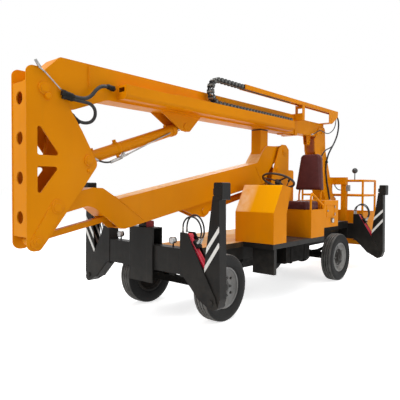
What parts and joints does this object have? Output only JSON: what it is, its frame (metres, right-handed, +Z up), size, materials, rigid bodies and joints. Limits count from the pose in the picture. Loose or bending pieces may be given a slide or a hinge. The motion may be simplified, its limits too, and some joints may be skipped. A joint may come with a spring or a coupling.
{
  "type": "self-propelled articulated boom lift",
  "caption": "Four-wheeled articulated boom lift with a driver's seat, folding outrigger legs, a parallel-linked lower boom, a telescopic upper boom and a hanging work basket.",
  "frame": {"origin": "middle of the footprint, on the ground the tyres stand on", "axes": "+X to the machine's front, +Y to the driver's left, +Z up"},
  "size_m": [6.712, 2.256, 2.852],
  "materials": {
    "black_paint": "satin",
    "chain_plastic": "matte",
    "lamp_chrome": "polished",
    "red_paint": "gloss",
    "red_rubber": "matte",
    "rim_paint": "satin",
    "rod_chrome": "polished",
    "rubber": "matte",
    "seat_cover": "satin",
    "steel": "satin",
    "tyre": "matte",
    "wheel_rim_plastic": "satin",
    "yellow_paint": "gloss"
  },
  "bodies": {
    "chassis": {"chassis_frame": "black_paint", "front_outrigger_beam": "black_paint", "rear_outrigger_beam": "black_paint", "boom_cradle": "black_paint", "cradle_pad": "red_rubber", "deck": "yellow_paint", "cowl": "yellow_paint", "steering_column": "black_paint", "platforms": "black_paint", "seat_box": "yellow_paint", "seat_cushion": "seat_cover", "seat_backrest": "seat_cover", "rear_cabinet": "yellow_paint", "engine": "black_paint", "tanks": "black_paint", "lamps": "lamp_chrome", "turntable": "steel", "turret": "yellow_paint", "front_axle": "black_paint", "rear_axle": "black_paint"},
    "knuckle_left": {"knuckle_left": "black_paint"},
    "knuckle_right": {"knuckle_right": "black_paint"},
    "steering_wheel": {"steering_wheel": "wheel_rim_plastic"},
    "lower_boom": {"lower_boom": "yellow_paint", "rest_pad": "rubber"},
    "tie_rod": {"tie_rod": "yellow_paint"},
    "lower_barrel": {"lower_barrel": "yellow_paint"},
    "lower_rod": {"lower_rod": "rod_chrome"},
    "bell_crank": {"bell_crank": "yellow_paint"},
    "upper_boom": {"upper_boom": "yellow_paint", "chain_run": "chain_plastic"},
    "upper_barrel": {"upper_barrel": "yellow_paint"},
    "upper_rod": {"upper_rod": "rod_chrome"},
    "inner_boom": {"inner_boom": "yellow_paint", "chain_rail": "yellow_paint"},
    "chain_loop": {"chain_loop": "chain_plastic"},
    "basket": {"hanger": "yellow_paint", "basket": "yellow_paint", "basket_rails": "yellow_paint", "basket_controls": "wheel_rim_plastic"},
    "wheel_front_left": {"tyre_front_left": "tyre", "rim_front_left": "rim_paint"},
    "leg_front_left": {"outrigger_leg_front_left": "black_paint"},
    "barrel_front_left": {"outrigger_barrel_front_left": "red_paint"},
    "rod_front_left": {"outrigger_rod_front_left": "rod_chrome"},
    "wheel_front_right": {"tyre_front_right": "tyre", "rim_front_right": "rim_paint"},
    "leg_front_right": {"outrigger_leg_front_right": "black_paint"},
    "barrel_front_right": {"outrigger_barrel_front_right": "red_paint"},
    "rod_front_right": {"outrigger_rod_front_right": "rod_chrome"},
    "wheel_rear_left": {"tyre_rear_left": "tyre", "rim_rear_left": "rim_paint"},
    "leg_rear_left": {"outrigger_leg_rear_left": "black_paint"},
    "barrel_rear_left": {"outrigger_barrel_rear_left": "red_paint"},
    "rod_rear_left": {"outrigger_rod_rear_left": "rod_chrome"},
    "wheel_rear_right": {"tyre_rear_right": "tyre", "rim_rear_right": "rim_paint"},
    "leg_rear_right": {"outrigger_leg_rear_right": "black_paint"},
    "barrel_rear_right": {"outrigger_barrel_rear_right": "red_paint"},
    "rod_rear_right": {"outrigger_rod_rear_right": "rod_chrome"}
  },
  "joints": [
    {"name": "lower_boom_lift", "type": "hinge", "parent": "chassis", "child": "lower_boom", "pos_m": [-0.776, 0, 2.04], "axis": [0, -1, 0], "range_deg": [0, 65]},
    {"name": "bell_crank_level", "type": "hinge", "parent": "lower_boom", "child": "bell_crank", "pos_m": [3.072, 0, 1.305], "axis": [0, -1, 0], "range_deg": [-66, 1]},
    {"name": "tie_rod_swing", "type": "hinge", "parent": "chassis", "child": "tie_rod", "pos_m": [-0.593, 0, 1.751], "axis": [0, -1, 0], "range_deg": [-1, 66]},
    {"name": "lower_cylinder_swing", "type": "hinge", "parent": "chassis", "child": "lower_barrel", "pos_m": [-0.616, 0, 1.53], "axis": [0, -1, 0], "range_deg": [-1, 65.17]},
    {"name": "lower_cylinder_stroke", "type": "slide", "parent": "lower_barrel", "child": "lower_rod", "axis": [0.9787, 0, -0.2054], "range_m": [-0.002, 0.5757]},
    {"name": "upper_boom_lift", "type": "hinge", "parent": "bell_crank", "child": "upper_boom", "pos_m": [3.192, 0, 2.343], "axis": [0, 1, 0], "range_deg": [0, 70]},
    {"name": "upper_cylinder_swing", "type": "hinge", "parent": "bell_crank", "child": "upper_barrel", "pos_m": [2.737, 0, 1.74], "axis": [0, 1, 0], "range_deg": [-1, 64.91]},
    {"name": "upper_cylinder_stroke", "type": "slide", "parent": "upper_barrel", "child": "upper_rod", "axis": [-0.9489, 0, 0.3156], "range_m": [-0.002, 0.8465]},
    {"name": "telescope", "type": "slide", "parent": "upper_boom", "child": "inner_boom", "axis": [-1, 0, 0], "range_m": [0, 2.4], "deforming": ["chain_run"]},
    {"name": "chain_loop_slide", "type": "slide", "parent": "upper_boom", "child": "chain_loop", "axis": [-1, 0, 0], "range_m": [-0.002, 1.202]},
    {"name": "basket_level", "type": "hinge", "parent": "inner_boom", "child": "basket", "pos_m": [-2.121, 0, 2.47], "axis": [0, 1, 0], "range_deg": [-71, 1]},
    {"name": "steer_left", "type": "hinge", "parent": "chassis", "child": "knuckle_left", "pos_m": [1.334, 0.4995, 0.375], "axis": [0, 0, 1], "range_deg": [-30, 30]},
    {"name": "steer_right", "type": "hinge", "parent": "chassis", "child": "knuckle_right", "pos_m": [1.334, -0.4995, 0.375], "axis": [0, 0, 1], "range_deg": [-31, 31]},
    {"name": "steering_wheel_turn", "type": "hinge", "parent": "chassis", "child": "steering_wheel", "pos_m": [-0.061, 0.49, 1.585], "axis": [-0.4229, 0, 0.9062], "range_deg": [-365, 365]},
    {"name": "wheel_front_left_roll", "type": "hinge", "parent": "knuckle_left", "child": "wheel_front_left", "pos_m": [1.334, 0.6145, 0.375], "axis": [0, 1, 0], "continuous": true},
    {"name": "wheel_front_right_roll", "type": "hinge", "parent": "knuckle_right", "child": "wheel_front_right", "pos_m": [1.334, -0.6145, 0.375], "axis": [0, 1, 0], "continuous": true},
    {"name": "wheel_rear_left_roll", "type": "hinge", "parent": "chassis", "child": "wheel_rear_left", "pos_m": [-1.632, 0.6145, 0.375], "axis": [0, 1, 0], "continuous": true},
    {"name": "wheel_rear_right_roll", "type": "hinge", "parent": "chassis", "child": "wheel_rear_right", "pos_m": [-1.632, -0.6145, 0.375], "axis": [0, 1, 0], "continuous": true},
    {"name": "outrigger_front_left_swing", "type": "hinge", "parent": "chassis", "child": "leg_front_left", "pos_m": [1.894, 1, 0.385], "axis": [-1, 0, 0], "range_deg": [0, 100]},
    {"name": "cylinder_front_left_swing", "type": "hinge", "parent": "chassis", "child": "barrel_front_left", "pos_m": [1.894, 0.655, 0.99], "axis": [-1, 0, 0], "range_deg": [-6.03, 1]},
    {"name": "cylinder_front_left_stroke", "type": "slide", "parent": "barrel_front_left", "child": "rod_front_left", "axis": [0, 0.6088, -0.7933], "range_m": [-0.002, 0.3164]},
    {"name": "outrigger_front_right_swing", "type": "hinge", "parent": "chassis", "child": "leg_front_right", "pos_m": [1.894, -1, 0.385], "axis": [1, 0, 0], "range_deg": [0, 100]},
    {"name": "cylinder_front_right_swing", "type": "hinge", "parent": "chassis", "child": "barrel_front_right", "pos_m": [1.894, -0.655, 0.99], "axis": [1, 0, 0], "range_deg": [-6.03, 1]},
    {"name": "cylinder_front_right_stroke", "type": "slide", "parent": "barrel_front_right", "child": "rod_front_right", "axis": [0, -0.6088, -0.7933], "range_m": [-0.002, 0.3164]},
    {"name": "outrigger_rear_left_swing", "type": "hinge", "parent": "chassis", "child": "leg_rear_left", "pos_m": [-2.446, 1, 0.385], "axis": [-1, 0, 0], "range_deg": [0, 100]},
    {"name": "cylinder_rear_left_swing", "type": "hinge", "parent": "chassis", "child": "barrel_rear_left", "pos_m": [-2.446, 0.655, 0.99], "axis": [-1, 0, 0], "range_deg": [-6.03, 1]},
    {"name": "cylinder_rear_left_stroke", "type": "slide", "parent": "barrel_rear_left", "child": "rod_rear_left", "axis": [0, 0.6088, -0.7933], "range_m": [-0.002, 0.3164]},
    {"name": "outrigger_rear_right_swing", "type": "hinge", "parent": "chassis", "child": "leg_rear_right", "pos_m": [-2.446, -1, 0.385], "axis": [1, 0, 0], "range_deg": [0, 100]},
    {"name": "cylinder_rear_right_swing", "type": "hinge", "parent": "chassis", "child": "barrel_rear_right", "pos_m": [-2.446, -0.655, 0.99], "axis": [1, 0, 0], "range_deg": [-6.03, 1]},
    {"name": "cylinder_rear_right_stroke", "type": "slide", "parent": "barrel_rear_right", "child": "rod_rear_right", "axis": [0, -0.6088, -0.7933], "range_m": [-0.002, 0.3164]}
  ],
  "couplings": [
    {"joint": "bell_crank_level", "follows": "lower_boom_lift", "ratio": -1},
    {"joint": "tie_rod_swing", "follows": "lower_boom_lift", "ratio": 1},
    {"joint": "lower_cylinder_swing", "follows": "lower_boom_lift", "ratio": 0.98721},
    {"joint": "lower_cylinder_stroke", "follows": "lower_boom_lift", "m_per_rad": 0.50571},
    {"joint": "upper_cylinder_swing", "follows": "upper_boom_lift", "ratio": 0.91304},
    {"joint": "upper_cylinder_stroke", "follows": "upper_boom_lift", "m_per_rad": 0.69119},
    {"joint": "chain_loop_slide", "follows": "telescope", "ratio": 0.5},
    {"joint": "basket_level", "follows": "upper_boom_lift", "ratio": -1},
    {"joint": "steer_right", "follows": "steer_left", "ratio": 1},
    {"joint": "steering_wheel_turn", "follows": "steer_left", "ratio": 12},
    {"joint": "cylinder_front_left_swing", "follows": "outrigger_front_left_swing", "ratio": -0.050338},
    {"joint": "cylinder_front_left_stroke", "follows": "outrigger_front_left_swing", "m_per_rad": 0.18014},
    {"joint": "cylinder_front_right_swing", "follows": "outrigger_front_right_swing", "ratio": -0.050338},
    {"joint": "cylinder_front_right_stroke", "follows": "outrigger_front_right_swing", "m_per_rad": 0.18014},
    {"joint": "cylinder_rear_left_swing", "follows": "outrigger_rear_left_swing", "ratio": -0.050338},
    {"joint": "cylinder_rear_left_stroke", "follows": "outrigger_rear_left_swing", "m_per_rad": 0.18014},
    {"joint": "cylinder_rear_right_swing", "follows": "outrigger_rear_right_swing", "ratio": -0.050338},
    {"joint": "cylinder_rear_right_stroke", "follows": "outrigger_rear_right_swing", "m_per_rad": 0.18014}
  ]
}
